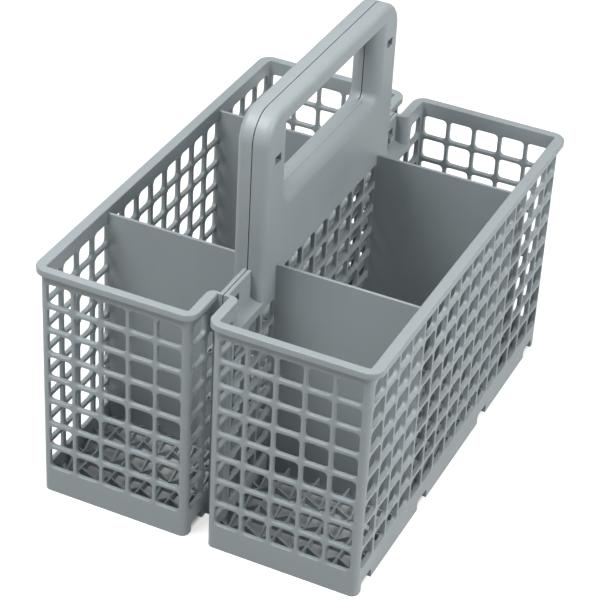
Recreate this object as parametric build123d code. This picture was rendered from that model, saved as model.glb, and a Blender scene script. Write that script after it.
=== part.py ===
# Dishwasher cutlery basket: two identical moulded halves that snap together under one carrying handle.
# Millimetres, +Z up, origin on the floor under the middle, length along Y, front end at -Y.
import os
from build123d import *

# Lattice of windows, the same spacing on the long walls and the end walls
column_pitch = 14.4
row_pitch = 13.6
long_columns = 16
end_columns = 5
window_rows = 8
post_width = 1.8
bar_height = 2.1
window_corner_cut = 1.3
sill_above_floor = 3.6
band_above_windows = 4.9

# Walls of one half, which stand off from the parting plane between the halves
wall_thickness = 2.5
inner_wall_face = 5.5
side_margin = 4.05
end_margin = 3.7
wall_corner = 3.6

# Rim flange round the top edge
rim_thickness = 3.3
side_overhang = 3.2
gap_overhang = 2.6
end_overhang = 2.0
rim_corner = 7.0
rim_edge_cut = 0.5

# Plain dividers across each half
divider_thickness = 1.6
divider_drop = 3.0
divider_columns = 4

# Open floor of thin ribs: square cells, each with a cross of ribs that sags to its middle
floor_bottom = 6.8
floor_rib_height = 4.0
floor_rib_thickness = 1.0
floor_cell_width = 16.2
floor_cells_across = 5
floor_cells_along = 14
floor_sag = 4.2
floor_sag_below = 1.2

# Notches for the wires of a dish rack under the long walls
notch_width = 11.5
notch_height = 5.5
notch_corner = 2.0
inner_notch_place = 39.6
outer_notch_inset = 11.5

# Carrying handle, one half of it on each moulding, its lower bar closed tight along the top
parting_clearance = 0.5
closing_clearance = 0.04
handle_half_thickness = 8.0
handle_length = 145.4
handle_rise = 79.0
handle_corner = 14.0
handle_edge_round = 3.5
handle_wall = 2.2
leg_width = 23.2
top_bar_height = 7.3
grip_height = 40.0
grip_corner = 3.5
grip_nose_round = 7.4
hollow_nose_cut = 3.0

# Tabs that close the gap between the halves beside the handle legs
tab_reach = 24.3
tab_thickness = 1.8
pocket_depth = 14.7
pocket_fall = 3.0
pocket_corner = 4.0

# Snap hooks, the webs they catch on and the holes beside them
snap_inset = 10.7
snap_drop = 21.3
snap_hole_width = 6.0
snap_hole_height = 4.0
web_stand_off = 1.9
web_thickness = 1.3
web_height = 6.0
hook_width = 5.0
hook_thickness = 1.7
hook_barb = 1.2
hook_clearance = 0.3
tab_snap_inset = 9.4
tab_snap_drop = 10.8
tab_hole_height = 5.8
slit_width = 0.9
slit_height = 3.2

# Reach of a cutter past the face it cuts, and the slack for finding edges by their place
cutter_reach = 1.0
edge_slack = 0.01

# Derived places
window_width = column_pitch - post_width
window_height = row_pitch - bar_height
lowest_sill = floor_bottom + floor_rib_height + sill_above_floor
lattice_top = lowest_sill + window_rows * row_pitch - bar_height
lattice_middle = (lowest_sill + lattice_top) / 2
top_row_middle = lattice_top - window_height / 2
rim_bottom = lattice_top + band_above_windows
rim_height = rim_bottom + rim_thickness
half_width = end_columns * column_pitch - post_width + 2 * side_margin
outer_wall_face = inner_wall_face + half_width
half_middle = inner_wall_face + half_width / 2
inner_wall_inside = inner_wall_face + wall_thickness
wall_end = (long_columns * column_pitch - post_width) / 2 + end_margin
inside_end = wall_end - wall_thickness
floor_cell_length = 2 * inside_end / floor_cells_along
outer_notch_place = wall_end - outer_notch_inset
parting_face = parting_clearance / 2
closing_face = closing_clearance / 2
handle_top = rim_height + handle_rise
leg_end = handle_length / 2
grip_end = leg_end - leg_width
grip_top = handle_top - top_bar_height
grip_bottom = grip_top - grip_height
tab_end = leg_end + tab_reach
tab_inside = parting_face + tab_thickness
pocket_end = tab_end - handle_wall
pocket_floor = rim_height - pocket_depth
snap_place = leg_end - snap_inset
snap_sill = handle_top - snap_drop
hook_root = inner_wall_face + wall_thickness / 2
tab_snap_place = tab_end - tab_snap_inset
tab_snap_sill = rim_height - tab_snap_drop


def block(x_from, x_to, y_from, y_to, z_from, z_to):
    size = (x_to - x_from, y_to - y_from, z_to - z_from)
    middle = Location(((x_from + x_to) / 2, (y_from + y_to) / 2, (z_from + z_to) / 2))
    return middle * Box(*size)


def upright(x_from, x_to, y_half, corner, z_from, z_to):
    outline = Pos((x_from + x_to) / 2, 0, z_from) * RectangleRounded(x_to - x_from, 2 * y_half, corner)
    return extrude(outline, z_to - z_from, dir=(0, 0, 1))


def across(sketch, x_from, x_to):
    return extrude(Plane.YZ.offset(x_from) * sketch, x_to - x_from, dir=(1, 0, 0))


def edges_at(shape, axis, place):
    return shape.edges().filter_by_position(axis, place - edge_slack, place + edge_slack)


def walls_and_rim():
    walls = upright(inner_wall_face, outer_wall_face, wall_end, wall_corner, 0, rim_height)
    flange = upright(inner_wall_face - gap_overhang, outer_wall_face + side_overhang,
                     wall_end + end_overhang, rim_corner, rim_bottom, rim_height)
    inside = upright(inner_wall_inside, outer_wall_face - wall_thickness, inside_end,
                     wall_corner - wall_thickness, -cutter_reach, rim_height + cutter_reach)
    return walls + flange - inside


def floor_dips(top, depth, reach):
    slope = depth / (floor_cell_width / 2 - floor_rib_thickness)
    point = floor_rib_thickness / 2
    wide = floor_cell_width / 2 - floor_rib_thickness + reach / slope
    long = floor_cell_length / 2 - floor_rib_thickness + reach / slope
    height = depth + reach
    narrow = (wide - point, long - point, wide + point, long + point)
    dip = Rot(-90, 0, 0) * Wedge(2 * wide, height, 2 * long, *narrow)
    cells = GridLocations(floor_cell_width, floor_cell_length, floor_cells_across, floor_cells_along)
    return [Pos(half_middle, 0, top + reach - height / 2) * place * dip for place in cells]


def floor_grid():
    inside_width = half_width - 2 * wall_thickness
    root = wall_thickness / 2
    low = floor_bottom - floor_sag_below
    crest = floor_bottom + floor_rib_height
    sheet = Rectangle(inside_width + 2 * root, 2 * inside_end + 2 * root)
    gap = Rectangle(floor_cell_width / 2 - floor_rib_thickness, floor_cell_length / 2 - floor_rib_thickness)
    gaps = GridLocations(floor_cell_width / 2, floor_cell_length / 2, 2 * floor_cells_across,
                         2 * floor_cells_along) * gap
    opening = Rectangle(inside_width + root, 2 * inside_end)
    ribs = sheet - ((Sketch() + gaps) & opening)
    grid = extrude(Pos(half_middle, 0, low) * ribs, crest - low, dir=(0, 0, 1))
    under = block(inner_wall_face, outer_wall_face, -wall_end, wall_end, low - cutter_reach, floor_bottom)
    under -= floor_dips(floor_bottom, floor_sag_below, 0)
    return grid - under - floor_dips(crest, floor_sag, cutter_reach / 2)


def dividers():
    plates = []
    root = wall_thickness / 2
    for side in (-1, 1):
        place = side * divider_columns * column_pitch
        plates.append(block(inner_wall_face + root, outer_wall_face - root, place - divider_thickness / 2,
                            place + divider_thickness / 2, floor_bottom, rim_height - divider_drop))
    return plates


def handle_outline(y_half, top, corner, bottom):
    outline = Pos(0, (top + bottom) / 2) * Rectangle(2 * y_half, top - bottom)
    return fillet(outline.vertices().group_by(Axis.Y)[-1], corner)


def grip_outline(y_half, bottom, corner):
    outline = Pos(0, (grip_top + bottom) / 2) * Rectangle(2 * y_half, grip_top - bottom)
    return fillet(outline.vertices().group_by(Axis.Y)[0], corner)


def nose_edges(shape, x_face):
    reach = grip_end + 2 * handle_wall
    span = [e for e in edges_at(shape, Axis.X, x_face) if abs(e.center().Y) < reach]
    return [e for e in span if grip_bottom - 2 * handle_wall < e.center().Z < grip_top - edge_slack]


def handle_half():
    bottom = pocket_floor - pocket_fall - handle_wall
    face = handle_half_thickness
    outside = across(handle_outline(leg_end, handle_top, handle_corner, bottom), parting_face, face)
    rims = edges_at(outside, Axis.X, face)
    outside = fillet([e for e in rims if e.center().Z > bottom + edge_slack], handle_edge_round)
    grip = grip_outline(grip_end, grip_bottom, grip_corner)
    outside -= across(grip, -cutter_reach, face + cutter_reach)
    outside = fillet(nose_edges(outside, face), grip_nose_round)
    core = handle_outline(leg_end - handle_wall, handle_top - handle_wall, handle_corner - handle_wall,
                          bottom - cutter_reach)
    hollow = across(core, -cutter_reach, inner_wall_face)
    grip_wall = grip_outline(grip_end + handle_wall, grip_bottom - handle_wall, grip_corner + handle_wall)
    hollow -= across(grip_wall, -2 * cutter_reach, inner_wall_face + cutter_reach)
    hollow = chamfer(nose_edges(hollow, inner_wall_face), hollow_nose_cut)
    seam_end = grip_end - grip_corner
    seam = block(closing_face, parting_face + handle_wall, -seam_end, seam_end,
                 grip_bottom - handle_wall, grip_bottom)
    return outside - hollow + seam


def pocket(side):
    low = pocket_floor - pocket_fall
    mouth = rim_height + cutter_reach
    far = inner_wall_inside + cutter_reach
    outline = Polyline((parting_face, rim_height), (parting_face, pocket_floor - handle_wall),
                       (inner_wall_face, low - handle_wall), (inner_wall_inside, low - handle_wall),
                       (inner_wall_inside, rim_height), close=True)
    inside = Polyline((tab_inside, mouth), (tab_inside, pocket_floor), (far, low), (far, mouth), close=True)
    profile = Plane.XZ * make_face(outline)
    void = Plane.XZ * make_face(inside)
    near = leg_end - handle_wall
    mouth_end = leg_end - handle_edge_round
    solid = Pos(0, near, 0) * extrude(profile, tab_end - near, dir=(0, 1, 0))
    space = Pos(0, mouth_end, 0) * extrude(void, pocket_end - mouth_end, dir=(0, 1, 0))
    if side < 0:
        solid = mirror(solid, Plane.XZ)
        space = mirror(space, Plane.XZ)
    return solid, space


def hooks():
    width = hook_width / 2
    arm_low = snap_sill + hook_clearance
    arm_top = arm_low + hook_thickness
    barb_back = -web_stand_off - web_thickness - hook_clearance
    arm_tip = barb_back - hook_barb
    near, far = -snap_place - width, -snap_place + width
    arm = block(arm_tip, hook_root, near, far, arm_low, arm_top)
    barb = block(arm_tip, barb_back, near, far, snap_sill - hook_barb, arm_top)
    tab_low = tab_snap_sill + hook_clearance
    tab_top = tab_low + hook_thickness
    tab_back = -tab_inside - hook_clearance
    tab_tip = tab_back - hook_barb
    tab_near, tab_far = -tab_snap_place - width, -tab_snap_place + width
    tab_arm = block(tab_tip, tab_inside, tab_near, tab_far, tab_low, tab_top)
    tab_barb = block(tab_tip, tab_back, tab_near, tab_far, tab_low - hook_barb, tab_top)
    return [arm, barb, tab_arm, tab_barb]


def catch_web():
    near, far = grip_end + handle_wall / 2, leg_end - handle_wall / 2
    return block(web_stand_off, web_stand_off + web_thickness, near, far, snap_sill - web_height, snap_sill)


def snap_holes():
    width = snap_hole_width / 2
    inside = inner_wall_face - cutter_reach
    outside = handle_half_thickness + cutter_reach
    near, far = snap_place - width, snap_place + width
    core = block(inside, outside, -far, -near, snap_sill - snap_hole_height, snap_sill)
    catch_sill = snap_sill - hook_barb - hook_clearance
    catch = block(inside, outside, near, far, catch_sill, catch_sill + snap_hole_height)
    tab_near, tab_far = tab_snap_place - width, tab_snap_place + width
    tab_outside = tab_inside + cutter_reach
    tab_hole_top = tab_snap_sill + tab_hole_height
    tab_hole = block(0, tab_outside, tab_near, tab_far, tab_snap_sill, tab_hole_top)
    arm_top = tab_snap_sill + hook_clearance + hook_thickness
    tab_core = block(0, tab_outside, -tab_far, -tab_near, arm_top, tab_hole_top)
    slit_top = tab_snap_sill - slit_width
    slit = block(0, tab_outside, tab_near, tab_near + slit_width, slit_top - slit_height, slit_top)
    return [core, catch, tab_hole, tab_core, slit]


def grid(columns, rows, pitch, middle):
    window = chamfer(Rectangle(window_width, window_height).vertices(), window_corner_cut)
    return Pos(*middle) * GridLocations(pitch, row_pitch, columns, rows) * window


def lattice_windows():
    below_top = lattice_middle - row_pitch / 2
    gap_side = inner_wall_face - cutter_reach
    outside = outer_wall_face + cutter_reach
    cuts = []
    # Lower rows run through both long walls, the top row through the outer wall and part of the inner wall
    lower = grid(long_columns, window_rows - 1, column_pitch, (0, below_top))
    cuts += [across(face, gap_side, outside) for face in lower]
    top = grid(long_columns, 1, column_pitch, (0, top_row_middle))
    cuts += [across(face, half_middle, outside) for face in top]
    middle = grid(2 * divider_columns, 1, column_pitch, (0, top_row_middle))
    corner = grid(2, 1, (long_columns - 1) * column_pitch, (0, top_row_middle))
    cuts += [across(face, gap_side, half_middle) for face in [*middle, *corner]]
    ends = grid(end_columns, window_rows, column_pitch, (half_middle, lattice_middle))
    for wall in (-wall_end, wall_end):
        cuts += [extrude(Plane.XZ.offset(wall) * face, 2 * wall_thickness, both=True) for face in ends]
    return cuts


def wire_notches():
    cuts = []
    for place in (-outer_notch_place, -inner_notch_place, inner_notch_place, outer_notch_place):
        notch = Pos(place, 0) * RectangleRounded(notch_width, 2 * notch_height, notch_corner)
        cuts.append(across(notch, inner_wall_face - cutter_reach, outer_wall_face + cutter_reach))
    return cuts


def pocket_mouth_edges(shape):
    upright_edges = edges_at(shape, Axis.X, inner_wall_inside).filter_by(Axis.Z)
    return [e for e in upright_edges if abs(abs(e.center().Y) - pocket_end) < edge_slack]


def rim_edges(shape):
    return [e for e in edges_at(shape, Axis.Z, rim_height) if e.center().X > tab_inside + edge_slack]


def half():
    body = walls_and_rim()
    above = rim_height + cutter_reach
    body -= block(0, inner_wall_face, -tab_end, tab_end, rim_bottom - cutter_reach, above)
    body -= block(inner_wall_face - cutter_reach, inner_wall_inside + cutter_reach, handle_wall - leg_end,
                  leg_end - handle_wall, rim_bottom, above)
    for side in (-1, 1):
        solid, space = pocket(side)
        spacer_ends = sorted((side * pocket_end, side * tab_end))
        spacer = block(parting_face, hook_root, *spacer_ends, 0, pocket_floor)
        body = body + solid + spacer - space
    body = fillet(pocket_mouth_edges(body), pocket_corner)
    body = chamfer(rim_edges(body), rim_edge_cut)
    pieces = [handle_half(), catch_web(), floor_grid(), *dividers(), *hooks()]
    return body + pieces - [*lattice_windows(), *wire_notches(), *snap_holes()]


right_half = half()
left_half = Rot(0, 0, 180) * right_half

os.makedirs("parts", exist_ok=True)
export_step(right_half, "parts/right_half.step")
export_step(left_half, "parts/left_half.step")
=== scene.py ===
import math
import bpy
import bmesh
from mathutils import Matrix, Vector


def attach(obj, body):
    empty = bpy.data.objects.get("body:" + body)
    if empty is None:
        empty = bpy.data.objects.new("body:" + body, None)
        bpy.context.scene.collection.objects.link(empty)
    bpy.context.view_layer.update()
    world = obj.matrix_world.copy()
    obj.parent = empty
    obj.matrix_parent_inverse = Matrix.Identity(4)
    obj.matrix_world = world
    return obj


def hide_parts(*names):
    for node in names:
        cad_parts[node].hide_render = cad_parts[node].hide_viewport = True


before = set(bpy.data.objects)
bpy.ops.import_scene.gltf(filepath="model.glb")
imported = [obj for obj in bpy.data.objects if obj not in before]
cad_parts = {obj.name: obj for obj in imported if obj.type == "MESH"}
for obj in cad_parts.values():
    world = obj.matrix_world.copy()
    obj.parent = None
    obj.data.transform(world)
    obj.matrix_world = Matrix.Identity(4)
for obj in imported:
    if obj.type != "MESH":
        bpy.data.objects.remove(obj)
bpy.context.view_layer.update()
mm = 0.001
print("frame loaded:", sorted(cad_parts))


def newNode(tree, kind, place=(0, 0), **settings):
    node = tree.nodes.new(kind)
    node.location = place
    for name, value in settings.items():
        setattr(node, name, value)
    return node


def feed(tree, node, socket, value):
    if isinstance(value, bpy.types.NodeSocket):
        tree.links.new(value, node.inputs[socket])
    else:
        node.inputs[socket].default_value = value


def mathNode(tree, operation, first, second=None, third=None):
    node = newNode(tree, "ShaderNodeMath", operation=operation)
    for slot, value in enumerate((first, second, third)):
        if value is not None:
            feed(tree, node, slot, value)
    return node.outputs[0]


# Grey moulded plastic: cloudy pigment, a fine spark-eroded grain and faint flow streaks
plastic = {
    "darkGrey": (0.266, 0.302, 0.316, 1.0),
    "paleGrey": (0.298, 0.338, 0.354, 1.0),
    "cloudScale": 38.0,      # pigment clouds, about 25 mm across
    "cloudDetail": 3.0,
    "cloudLow": 0.3,         # the clouds' range that the roughness follows
    "cloudHigh": 0.7,
    "streakScale": 260.0,    # flow streaks
    "streakDetail": 2.0,
    "streakStretch": (1.0, 1.0, 0.12),
    "streakShare": 0.35,     # weight of the streaks beside the clouds
    "toneDrop": 0.18,        # takes off what the streaks add on average
    "grainScale": 2600.0,    # surface grain, about 0.4 mm
    "grainDetail": 1.0,
    "grainHeight": 0.00006,
    "grainStrength": 0.5,
    "roughLow": 0.40,
    "roughHigh": 0.54,
}


def plasticMaterial():
    material = bpy.data.materials.new("greyPlastic")
    material.use_nodes = True
    tree = material.node_tree
    tree.nodes.clear()
    output = newNode(tree, "ShaderNodeOutputMaterial", (900, 0))
    shader = newNode(tree, "ShaderNodeBsdfPrincipled", (600, 0))
    tree.links.new(shader.outputs["BSDF"], output.inputs["Surface"])
    coords = newNode(tree, "ShaderNodeTexCoord", (-900, 0)).outputs["Object"]
    clouds = newNode(tree, "ShaderNodeTexNoise", (-600, 300))
    feed(tree, clouds, "Vector", coords)
    feed(tree, clouds, "Scale", plastic["cloudScale"])
    feed(tree, clouds, "Detail", plastic["cloudDetail"])
    stretch = newNode(tree, "ShaderNodeMapping", (-750, 0))
    feed(tree, stretch, "Vector", coords)
    feed(tree, stretch, "Scale", plastic["streakStretch"])
    streaks = newNode(tree, "ShaderNodeTexNoise", (-600, 0))
    feed(tree, streaks, "Vector", stretch.outputs["Vector"])
    feed(tree, streaks, "Scale", plastic["streakScale"])
    feed(tree, streaks, "Detail", plastic["streakDetail"])
    grain = newNode(tree, "ShaderNodeTexNoise", (-600, -300))
    feed(tree, grain, "Vector", coords)
    feed(tree, grain, "Scale", plastic["grainScale"])
    feed(tree, grain, "Detail", plastic["grainDetail"])
    share = plastic["streakShare"]
    tone = mathNode(tree, "MULTIPLY_ADD", streaks.outputs["Fac"], share, clouds.outputs["Fac"])
    tone = mathNode(tree, "SUBTRACT", tone, plastic["toneDrop"])
    blend = newNode(tree, "ShaderNodeMix", (0, 200), data_type="RGBA")
    feed(tree, blend, "Factor", tone)
    blend.inputs[6].default_value = plastic["darkGrey"]
    blend.inputs[7].default_value = plastic["paleGrey"]
    tree.links.new(blend.outputs[2], shader.inputs["Base Color"])
    gloss = newNode(tree, "ShaderNodeMapRange", (0, -50))
    feed(tree, gloss, "Value", clouds.outputs["Fac"])
    feed(tree, gloss, "From Min", plastic["cloudLow"])
    feed(tree, gloss, "From Max", plastic["cloudHigh"])
    feed(tree, gloss, "To Min", plastic["roughLow"])
    feed(tree, gloss, "To Max", plastic["roughHigh"])
    tree.links.new(gloss.outputs["Result"], shader.inputs["Roughness"])
    bump = newNode(tree, "ShaderNodeBump", (300, -300))
    feed(tree, bump, "Strength", plastic["grainStrength"])
    feed(tree, bump, "Distance", plastic["grainHeight"])
    feed(tree, bump, "Height", grain.outputs["Fac"])
    tree.links.new(bump.outputs["Normal"], shader.inputs["Normal"])
    return material


greyPlastic = plasticMaterial()
print("plastic finish made")


# One window of the moulded lattice: rounded corners and softened edges on both faces
window = {
    "columnPitch": 14.4 * mm,
    "rowPitch": 13.6 * mm,
    "width": 12.6 * mm,
    "height": 11.5 * mm,
    "corner": 2.2 * mm,
    "cornerSteps": 3,
    "thickness": 2.5 * mm,
    "edgeRound": 0.32 * mm,
    "pointWeld": 0.001 * mm,   # points this close in one cell are one
    "cellWeld": 0.01 * mm,     # and these, between neighbouring cells
}
quarterSigns = ((1, 1), (-1, 1), (-1, -1), (1, -1))   # the window's four corners, in turning order


def windowOutline(grow):
    points = []
    steps = window["cornerSteps"]
    radius = window["corner"] + grow
    for quarter in range(4):
        signs = quarterSigns[quarter]
        centre = Vector((signs[0] * (window["width"] / 2 - window["corner"]),
                         signs[1] * (window["height"] / 2 - window["corner"]), 0))
        for step in range(steps + 1):
            turn = math.radians(90 * (quarter + step / steps))
            points.append(centre + radius * Vector((math.cos(turn), math.sin(turn), 0)))
    return points


def cellOutline():
    points = []
    steps = window["cornerSteps"]
    half = Vector((window["columnPitch"] / 2, window["rowPitch"] / 2, 0))
    inner = windowOutline(0)
    for number, point in enumerate(inner):
        quarter, step = divmod(number, steps + 1)
        signs = quarterSigns[quarter]
        corner = Vector((signs[0] * half.x, signs[1] * half.y, 0))
        first = step == 0
        last = step == steps
        if first or last:   # the ends of a corner arc go straight out to the side of the cell
            along = (first and quarter % 2 == 0) or (last and quarter % 2 == 1)
            corner = Vector((corner.x, point.y, 0)) if along else Vector((point.x, corner.y, 0))
        points.append(corner)
    return points


def windowCell():
    bm = bmesh.new()
    half = window["thickness"] / 2
    soft = window["edgeRound"]
    rings = [(cellOutline(), half), (windowOutline(soft), half), (windowOutline(0), half - soft),
             (windowOutline(0), soft - half), (windowOutline(soft), -half), (cellOutline(), -half)]
    loops = []
    for outline, height in rings:
        loops.append([bm.verts.new((p.x, p.y, height)) for p in outline])
    for outer, inner in zip(loops, loops[1:]):
        for number in range(len(outer)):
            after = (number + 1) % len(outer)
            bm.faces.new((outer[number], outer[after], inner[after], inner[number]))
    bmesh.ops.remove_doubles(bm, verts=bm.verts, dist=window["pointWeld"])
    mesh = bpy.data.meshes.new("windowCell")
    bm.to_mesh(mesh)
    bm.free()
    cell = bpy.data.objects.new("windowCell", mesh)
    bpy.context.scene.collection.objects.link(cell)
    return cell


# Tree that repeats the window over one wall: columns by rows, some of the top row left blank, ends trimmed
def latticeTree():
    tree = bpy.data.node_groups.new("latticeWall", "GeometryNodeTree")
    sockets = [("Cell", "NodeSocketObject"), ("Columns", "NodeSocketInt"), ("Rows", "NodeSocketInt"),
               ("Column Pitch", "NodeSocketFloat"), ("Row Pitch", "NodeSocketFloat"),
               ("Half Length", "NodeSocketFloat"), ("Low Trim", "NodeSocketFloat"),
               ("Blank From", "NodeSocketFloat"), ("Blank To", "NodeSocketFloat"),
               ("Place", "NodeSocketVector"), ("Turn", "NodeSocketRotation"),
               ("Material", "NodeSocketMaterial")]
    for name, kind in sockets:
        tree.interface.new_socket(name, in_out="INPUT", socket_type=kind)
    tree.interface.new_socket("Geometry", in_out="OUTPUT", socket_type="NodeSocketGeometry")
    given = newNode(tree, "NodeGroupInput", (-1400, 0)).outputs
    grid = newNode(tree, "GeometryNodeMeshGrid", (-1000, 200))
    feed(tree, grid, "Vertices X", given["Columns"])
    feed(tree, grid, "Vertices Y", given["Rows"])
    acrossSteps = mathNode(tree, "SUBTRACT", given["Columns"], 1.0)
    upSteps = mathNode(tree, "SUBTRACT", given["Rows"], 1.0)
    wide = mathNode(tree, "MULTIPLY", acrossSteps, given["Column Pitch"])
    high = mathNode(tree, "MULTIPLY", upSteps, given["Row Pitch"])
    feed(tree, grid, "Size X", wide)
    feed(tree, grid, "Size Y", high)
    spot = newNode(tree, "ShaderNodeSeparateXYZ", (-1000, -200))
    tree.links.new(newNode(tree, "GeometryNodeInputPosition", (-1200, -200)).outputs[0], spot.inputs[0])
    away = mathNode(tree, "ABSOLUTE", spot.outputs["X"])
    inBlank = mathNode(tree, "MULTIPLY", mathNode(tree, "GREATER_THAN", away, given["Blank From"]),
                       mathNode(tree, "LESS_THAN", away, given["Blank To"]))
    topLine = mathNode(tree, "SUBTRACT", mathNode(tree, "MULTIPLY", high, 0.5), mm)   # just under the top row
    inBlank = mathNode(tree, "MULTIPLY", inBlank, mathNode(tree, "GREATER_THAN", spot.outputs["Y"], topLine))
    drop = newNode(tree, "GeometryNodeDeleteGeometry", (-700, 200), domain="POINT")
    tree.links.new(grid.outputs["Mesh"], drop.inputs["Geometry"])
    tree.links.new(inBlank, drop.inputs["Selection"])
    cell = newNode(tree, "GeometryNodeObjectInfo", (-700, -200))
    tree.links.new(given["Cell"], cell.inputs["Object"])
    repeat = newNode(tree, "GeometryNodeInstanceOnPoints", (-450, 200))
    tree.links.new(drop.outputs["Geometry"], repeat.inputs["Points"])
    tree.links.new(cell.outputs["Geometry"], repeat.inputs["Instance"])
    real = newNode(tree, "GeometryNodeRealizeInstances", (-200, 200))
    tree.links.new(repeat.outputs["Instances"], real.inputs["Geometry"])
    weld = newNode(tree, "GeometryNodeMergeByDistance", (0, 200))
    feed(tree, weld, "Distance", window["cellWeld"])
    tree.links.new(real.outputs["Geometry"], weld.inputs["Geometry"])
    here = newNode(tree, "ShaderNodeSeparateXYZ", (0, -200))
    tree.links.new(newNode(tree, "GeometryNodeInputPosition", (-200, -200)).outputs[0], here.inputs[0])
    low = mathNode(tree, "MULTIPLY", given["Half Length"], -1.0)
    held = mathNode(tree, "MINIMUM", mathNode(tree, "MAXIMUM", here.outputs["X"], low), given["Half Length"])
    trimmed = newNode(tree, "ShaderNodeCombineXYZ", (200, -200))
    tree.links.new(held, trimmed.inputs["X"])
    halfHigh = mathNode(tree, "MULTIPLY", mathNode(tree, "ADD", high, given["Row Pitch"]), 0.5)
    lowest = mathNode(tree, "SUBTRACT", given["Low Trim"], halfHigh)
    tree.links.new(mathNode(tree, "MAXIMUM", here.outputs["Y"], lowest), trimmed.inputs["Y"])
    tree.links.new(here.outputs["Z"], trimmed.inputs["Z"])
    trim = newNode(tree, "GeometryNodeSetPosition", (200, 200))
    tree.links.new(weld.outputs["Geometry"], trim.inputs["Geometry"])
    tree.links.new(trimmed.outputs["Vector"], trim.inputs["Position"])
    put = newNode(tree, "GeometryNodeTransform", (400, 200))
    tree.links.new(trim.outputs["Geometry"], put.inputs["Geometry"])
    tree.links.new(given["Place"], put.inputs["Translation"])
    tree.links.new(given["Turn"], put.inputs["Rotation"])
    solid = newNode(tree, "GeometryNodeRealizeInstances", (600, 200))
    tree.links.new(put.outputs["Geometry"], solid.inputs["Geometry"])
    finish = newNode(tree, "GeometryNodeSetMaterial", (800, 200))
    tree.links.new(solid.outputs["Geometry"], finish.inputs["Geometry"])
    tree.links.new(given["Material"], finish.inputs["Material"])
    result = newNode(tree, "NodeGroupOutput", (1000, 200))
    tree.links.new(finish.outputs["Geometry"], result.inputs["Geometry"])
    return tree


# The four latticed walls of one half, in the place of the right half
walls = {
    "rows": 8,
    "longColumns": 16,
    "endColumns": 5,
    "lowestSill": 14.4 * mm,
    "lowTrim": 0.65 * mm,      # the lattice starts this far above its first half bar
    "longHalf": 114.65 * mm,   # the lattice stops just past its last windows, where the corner begins
    "endHalf": 35.35 * mm,
    "blankFrom": 57.6 * mm,    # the top row is closed beside the handle legs
    "blankTo": 100.8 * mm,
    "outerFace": 83.8 * mm,
    "innerFace": 5.5 * mm,
    "endFace": 118.0 * mm,
    "middle": 44.65 * mm,
}
latticeLow = walls["lowestSill"] - (window["rowPitch"] - window["height"]) / 2
latticeTop = latticeLow + walls["rows"] * window["rowPitch"]
latticeFoot = latticeLow + walls["lowTrim"]
topRowLow = latticeTop - window["rowPitch"]


def setInputs(modifier, tree, values):
    for item in tree.interface.items_tree:
        if item.item_type == "SOCKET" and item.in_out == "INPUT" and item.name in values:
            modifier[item.identifier] = values[item.name]


def latticeMeshes():
    cell = windowCell()
    tree = latticeTree()
    half = window["thickness"] / 2
    up = (latticeLow + latticeTop) / 2
    quarter = math.radians(90)
    longWall = dict(Columns=walls["longColumns"], Turn=(quarter, 0, quarter))
    longWall["Half Length"] = walls["longHalf"]
    endWall = dict(Columns=walls["endColumns"], Turn=(quarter, 0, 0))
    endWall["Half Length"] = walls["endHalf"]
    blank = {"Blank From": walls["blankFrom"], "Blank To": walls["blankTo"]}
    panels = [dict(longWall, Place=(walls["outerFace"] - half, 0, up)),
              dict(longWall, Place=(walls["innerFace"] + half, 0, up), **blank),
              dict(endWall, Place=(walls["middle"], half - walls["endFace"], up)),
              dict(endWall, Place=(walls["middle"], walls["endFace"] - half, up))]
    meshes = []
    for values in panels:
        host = bpy.data.objects.new("latticeWall", bpy.data.meshes.new("latticeWall"))
        bpy.context.scene.collection.objects.link(host)
        modifier = host.modifiers.new("lattice", "NODES")
        modifier.node_group = tree
        values.update({"Cell": cell, "Rows": walls["rows"], "Low Trim": walls["lowTrim"],
                       "Column Pitch": window["columnPitch"], "Row Pitch": window["rowPitch"],
                       "Material": greyPlastic})
        setInputs(modifier, tree, values)
        shown = host.evaluated_get(bpy.context.evaluated_depsgraph_get())
        meshes.append(bpy.data.meshes.new_from_object(shown))
        bpy.data.objects.remove(host)
    bpy.data.objects.remove(cell)
    return meshes


lattice = latticeMeshes()
print("lattice walls made:", [len(m.polygons) for m in lattice], "faces")


# Rim, skirt, corners, dividers, floor, tabs and handle of one half: the frame's own shape without its lattice
shell = {
    "slack": 0.02 * mm,
    "pointWeld": 0.001 * mm,
    "cutSlack": 0.0005 * mm,
    "flatAngle": 1.0,       # degrees: flatter edges are dissolved
    "softAngle": 60.0,      # degrees: sharper edges keep their crease
}


def cutAcross(bm, axis, place):
    flat = Vector((0, 0, 0))
    flat[axis] = 1
    every = bm.verts[:] + bm.edges[:] + bm.faces[:]
    bmesh.ops.bisect_plane(bm, geom=every, dist=shell["cutSlack"], plane_co=flat * place, plane_no=flat)


def inLattice(spot):
    slack = shell["slack"]
    thick = window["thickness"]
    away = abs(spot.y)
    if not latticeFoot < spot.z < latticeTop:
        return False
    if away < walls["longHalf"]:
        if spot.x > walls["outerFace"] - thick - slack:
            return True
        if walls["innerFace"] - slack < spot.x < walls["innerFace"] + thick + slack:
            return spot.z < topRowLow or not walls["blankFrom"] < away < walls["blankTo"]
    inSpan = abs(spot.x - walls["middle"]) < walls["endHalf"]
    return inSpan and away > walls["endFace"] - thick - slack


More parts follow.
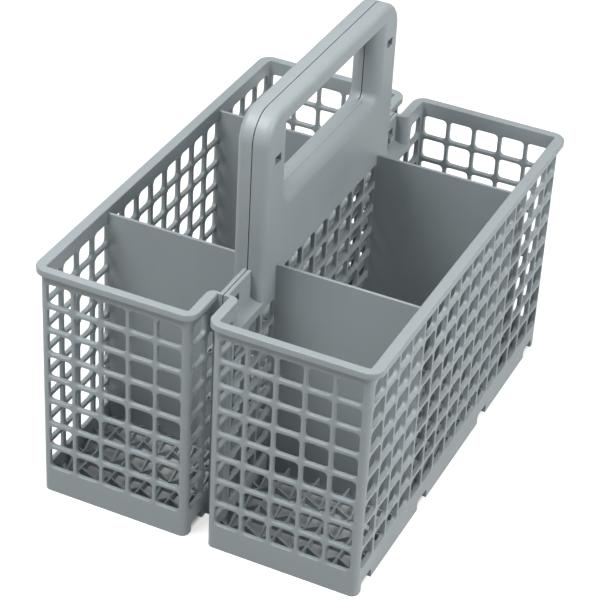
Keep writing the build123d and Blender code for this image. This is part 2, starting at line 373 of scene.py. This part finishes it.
def shellMesh(node):
    bm = bmesh.new()
    bm.from_mesh(node.data)
    bmesh.ops.remove_doubles(bm, verts=bm.verts, dist=shell["pointWeld"])
    for place in (latticeFoot, topRowLow, latticeTop):
        cutAcross(bm, 2, place)
    for place in (walls["longHalf"], walls["blankFrom"], walls["blankTo"]):
        cutAcross(bm, 1, place)
        cutAcross(bm, 1, -place)
    for side in (-1, 1):
        cutAcross(bm, 0, walls["middle"] + side * walls["endHalf"])
    gone = [face for face in bm.faces if inLattice(face.calc_center_median())]
    bmesh.ops.delete(bm, geom=gone, context="FACES")
    bmesh.ops.dissolve_limit(bm, angle_limit=math.radians(shell["flatAngle"]), verts=bm.verts,
                             edges=bm.edges, delimit={"NORMAL"})
    return bm


def splitAt(bm, edge, spots):
    start, end = edge.verts
    begin, way = start.co.copy(), end.co - start.co
    done = 0.0
    for spot in sorted((p - begin).dot(way) / way.length_squared for p in spots):
        middle = bmesh.utils.edge_split(edge, start, (spot - done) / (1 - done))[1]
        edge = bm.edges.get((middle, end))
        start, done = middle, spot


def openEdges(bm):
    return [edge for edge in bm.edges if edge.is_boundary]


# In the order of the edges, so that each run gives the same mesh
def openPoints(bm):
    return list(dict.fromkeys(vert for edge in openEdges(bm) for vert in edge.verts))


# The lattice's border points are cut into the shell's long border edges, and both are welded there
def closeSeams(bm):
    near = shell["slack"]
    corners = openPoints(bm)
    for edge in openEdges(bm):
        begin, end = edge.verts[0].co, edge.verts[1].co
        way = end - begin
        long = way.length
        spots = []
        for vert in corners:
            along = (vert.co - begin).dot(way) / long
            if near < along < long - near and (begin + way * (along / long) - vert.co).length < near:
                if all((vert.co - spot).length > near for spot in spots):
                    spots.append(vert.co.copy())
        if spots:
            splitAt(bm, edge, spots)
    bmesh.ops.remove_doubles(bm, verts=openPoints(bm), dist=near)


# Ends of the dividers and spacers, left open where the lattice stands, are sunk into the wall and capped
def sinkEnds(bm):
    grown = bmesh.ops.extrude_edge_only(bm, edges=openEdges(bm))["geom"]
    half = window["thickness"] / 2
    for vert in [item for item in grown if isinstance(item, bmesh.types.BMVert)]:
        outer = vert.co.x > walls["middle"]
        vert.co.x = walls["outerFace"] - half if outer else walls["innerFace"] + half
    bmesh.ops.edgeloop_fill(bm, edges=openEdges(bm))


def joinedHalf():
    bm = shellMesh(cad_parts["right_half"])
    print("shell cut:", len(bm.faces), "faces")
    for mesh in lattice:
        bm.from_mesh(mesh)
    closeSeams(bm)
    print("open edges left at the dividers and spacers:", len(openEdges(bm)))
    sinkEnds(bm)
    bmesh.ops.recalc_face_normals(bm, faces=bm.faces)
    print("open edges left:", len(openEdges(bm)), "of", len(bm.edges))
    return bm


# A mesh of places and faces alone, so that the frame's own shading isn't carried over
def basketHalf(name, node, turn):
    spin = Matrix.Rotation(math.radians(turn), 4, "Z")
    mesh = bpy.data.meshes.new(name)
    mesh.from_pydata([spin @ vert.co for vert in joined.verts], [],
                     [[vert.index for vert in face.verts] for face in joined.faces])
    mesh.materials.append(greyPlastic)
    mesh.shade_smooth()
    mesh.set_sharp_from_angle(angle=math.radians(shell["softAngle"]))
    piece = bpy.data.objects.new(name, mesh)
    bpy.context.scene.collection.objects.link(piece)
    even = piece.modifiers.new("evenNormals", "WEIGHTED_NORMAL")
    even.keep_sharp = True
    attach(piece, "root")
    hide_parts(node)
    return piece


joined = joinedHalf()
joined.verts.index_update()
rightPiece = basketHalf("rightBasket", "right_half", 0)
leftPiece = basketHalf("leftBasket", "left_half", 180)
print("halves joined:", len(rightPiece.data.polygons), "faces each")


# Studio: pale floor, white surroundings, soft light from the right and from above
studio = {
    "sidePlace": (1.35, 0.0, 0.7), "sideSize": 0.9, "sidePower": 12.0,
    "backPlace": (0.0, 0.5, 1.4), "backSize": 0.9, "backPower": 4.3,
    "leftPlace": (-0.25, -0.35, 0.8), "leftSize": 0.4, "leftPower": 6.7,
    "rightPlace": (0.5, -0.2, 0.8), "rightSize": 0.4, "rightPower": 1.9,
    "aim": (0.0, 0.0, 0.09),
    "skyLevel": 0.02,
    "floorSize": 4.0,
    "floorGrey": (0.62, 0.62, 0.62, 1.0),
    "floorGlow": 0.66,         # white that the eye and reflections see in the open floor, over its shadows
    "shadeOuter": 80.5 * mm,   # the floor has no glow under the basket, inside these half sizes
    "shadeEnd": 114.7 * mm,
    "gapSide": 8.0 * mm,       # but for both ends of the gap between the halves
    "gapEnd": 92.0 * mm,
    "shadeFade": 2.5 * mm,
}


def areaLight(name):
    lamp = bpy.data.lights.new(name, "AREA")
    lamp.shape = "SQUARE"
    lamp.size = studio[name + "Size"]
    lamp.energy = studio[name + "Power"]
    holder = bpy.data.objects.new(name + "Light", lamp)
    holder.location = studio[name + "Place"]
    aim = Vector(studio["aim"]) - holder.location
    holder.rotation_euler = aim.to_track_quat("-Z", "Y").to_euler()
    bpy.context.scene.collection.objects.link(holder)


def rayMask(tree):
    path = newNode(tree, "ShaderNodeLightPath", (-600, 300))
    seen = mathNode(tree, "MAXIMUM", path.outputs["Is Camera Ray"], path.outputs["Is Glossy Ray"])
    return mathNode(tree, "MAXIMUM", seen, path.outputs["Is Transmission Ray"])


def whiteSurroundings():
    world = bpy.data.worlds.new("studioWhite")
    bpy.context.scene.world = world
    world.use_nodes = True
    tree = world.node_tree
    tree.nodes.clear()
    sky = newNode(tree, "ShaderNodeBackground", (0, 100))
    feed(tree, sky, "Color", (1, 1, 1, 1))
    feed(tree, sky, "Strength", studio["skyLevel"])
    white = newNode(tree, "ShaderNodeBackground", (0, -100))
    feed(tree, white, "Color", (1, 1, 1, 1))
    feed(tree, white, "Strength", 1.0)
    choice = newNode(tree, "ShaderNodeMixShader", (250, 0))
    tree.links.new(rayMask(tree), choice.inputs[0])
    tree.links.new(sky.outputs[0], choice.inputs[1])
    tree.links.new(white.outputs[0], choice.inputs[2])
    output = newNode(tree, "ShaderNodeOutputWorld", (500, 0))
    tree.links.new(choice.outputs[0], output.inputs["Surface"])


# One on the open floor and at the ends of the gap between the halves, nought under the basket
def clearOfBasket(tree):
    coords = newNode(tree, "ShaderNodeTexCoord", (-1200, -100)).outputs["Object"]
    split = newNode(tree, "ShaderNodeSeparateXYZ", (-1000, -100))
    tree.links.new(coords, split.inputs[0])
    past = {}
    bounds = [("X", "shadeOuter", 1), ("Y", "shadeEnd", 1), ("X", "gapSide", -1), ("Y", "gapEnd", 1)]
    for axis, name, way in bounds:
        ramp = newNode(tree, "ShaderNodeMapRange", (-600, -100))
        feed(tree, ramp, "Value", mathNode(tree, "ABSOLUTE", split.outputs[axis]))
        feed(tree, ramp, "From Min", studio[name])
        feed(tree, ramp, "From Max", studio[name] + way * studio["shadeFade"])
        past[name] = ramp.outputs["Result"]
    inGap = mathNode(tree, "MULTIPLY", past["gapSide"], past["gapEnd"])
    beside = mathNode(tree, "MAXIMUM", past["shadeOuter"], past["shadeEnd"])
    return mathNode(tree, "MAXIMUM", beside, inGap)


# The floor looks white but for its shade under the basket, and throws only its own grey up into it
def paleFloor():
    half = studio["floorSize"] / 2
    mesh = bpy.data.meshes.new("studioFloor")
    corners = [(-half, -half, 0), (half, -half, 0), (half, half, 0), (-half, half, 0)]
    mesh.from_pydata(corners, [], [(0, 1, 2, 3)])
    material = bpy.data.materials.new("paleFloor")
    material.use_nodes = True
    tree = material.node_tree
    tree.nodes.clear()
    matt = newNode(tree, "ShaderNodeBsdfDiffuse", (0, 100))
    feed(tree, matt, "Color", studio["floorGrey"])
    glow = newNode(tree, "ShaderNodeEmission", (0, -100))
    seen = mathNode(tree, "MULTIPLY", rayMask(tree), clearOfBasket(tree))
    feed(tree, glow, "Strength", mathNode(tree, "MULTIPLY", seen, studio["floorGlow"]))
    both = newNode(tree, "ShaderNodeAddShader", (250, 0))
    tree.links.new(matt.outputs[0], both.inputs[0])
    tree.links.new(glow.outputs[0], both.inputs[1])
    output = newNode(tree, "ShaderNodeOutputMaterial", (500, 0))
    tree.links.new(both.outputs[0], output.inputs["Surface"])
    mesh.materials.append(material)
    floor = bpy.data.objects.new("studioFloor", mesh)
    bpy.context.scene.collection.objects.link(floor)


for lampName in ("side", "back", "left", "right"):
    areaLight(lampName)
whiteSurroundings()
paleFloor()
print("studio set")


# Camera at the photograph's angle
camera = {
    "place": (0.3590, -0.8261, 0.67935),
    "right": (0.90077, 0.43171, 0.04733),
    "up": (-0.27804, 0.48953, 0.82647),
    "lens": 130.72,
    "sensor": 36.0,
}


def placeCamera():
    data = bpy.data.cameras.new("camera")
    data.lens = camera["lens"]
    data.sensor_width = camera["sensor"]
    holder = bpy.data.objects.new("camera", data)
    right = Vector(camera["right"]).normalized()
    back = right.cross(Vector(camera["up"])).normalized()
    up = back.cross(right)
    turn = Matrix((right, up, back)).transposed().to_4x4()
    holder.matrix_world = Matrix.Translation(camera["place"]) @ turn
    bpy.context.scene.collection.objects.link(holder)
    bpy.context.scene.camera = holder


placeCamera()
bpy.context.scene.view_settings.view_transform = "Standard"
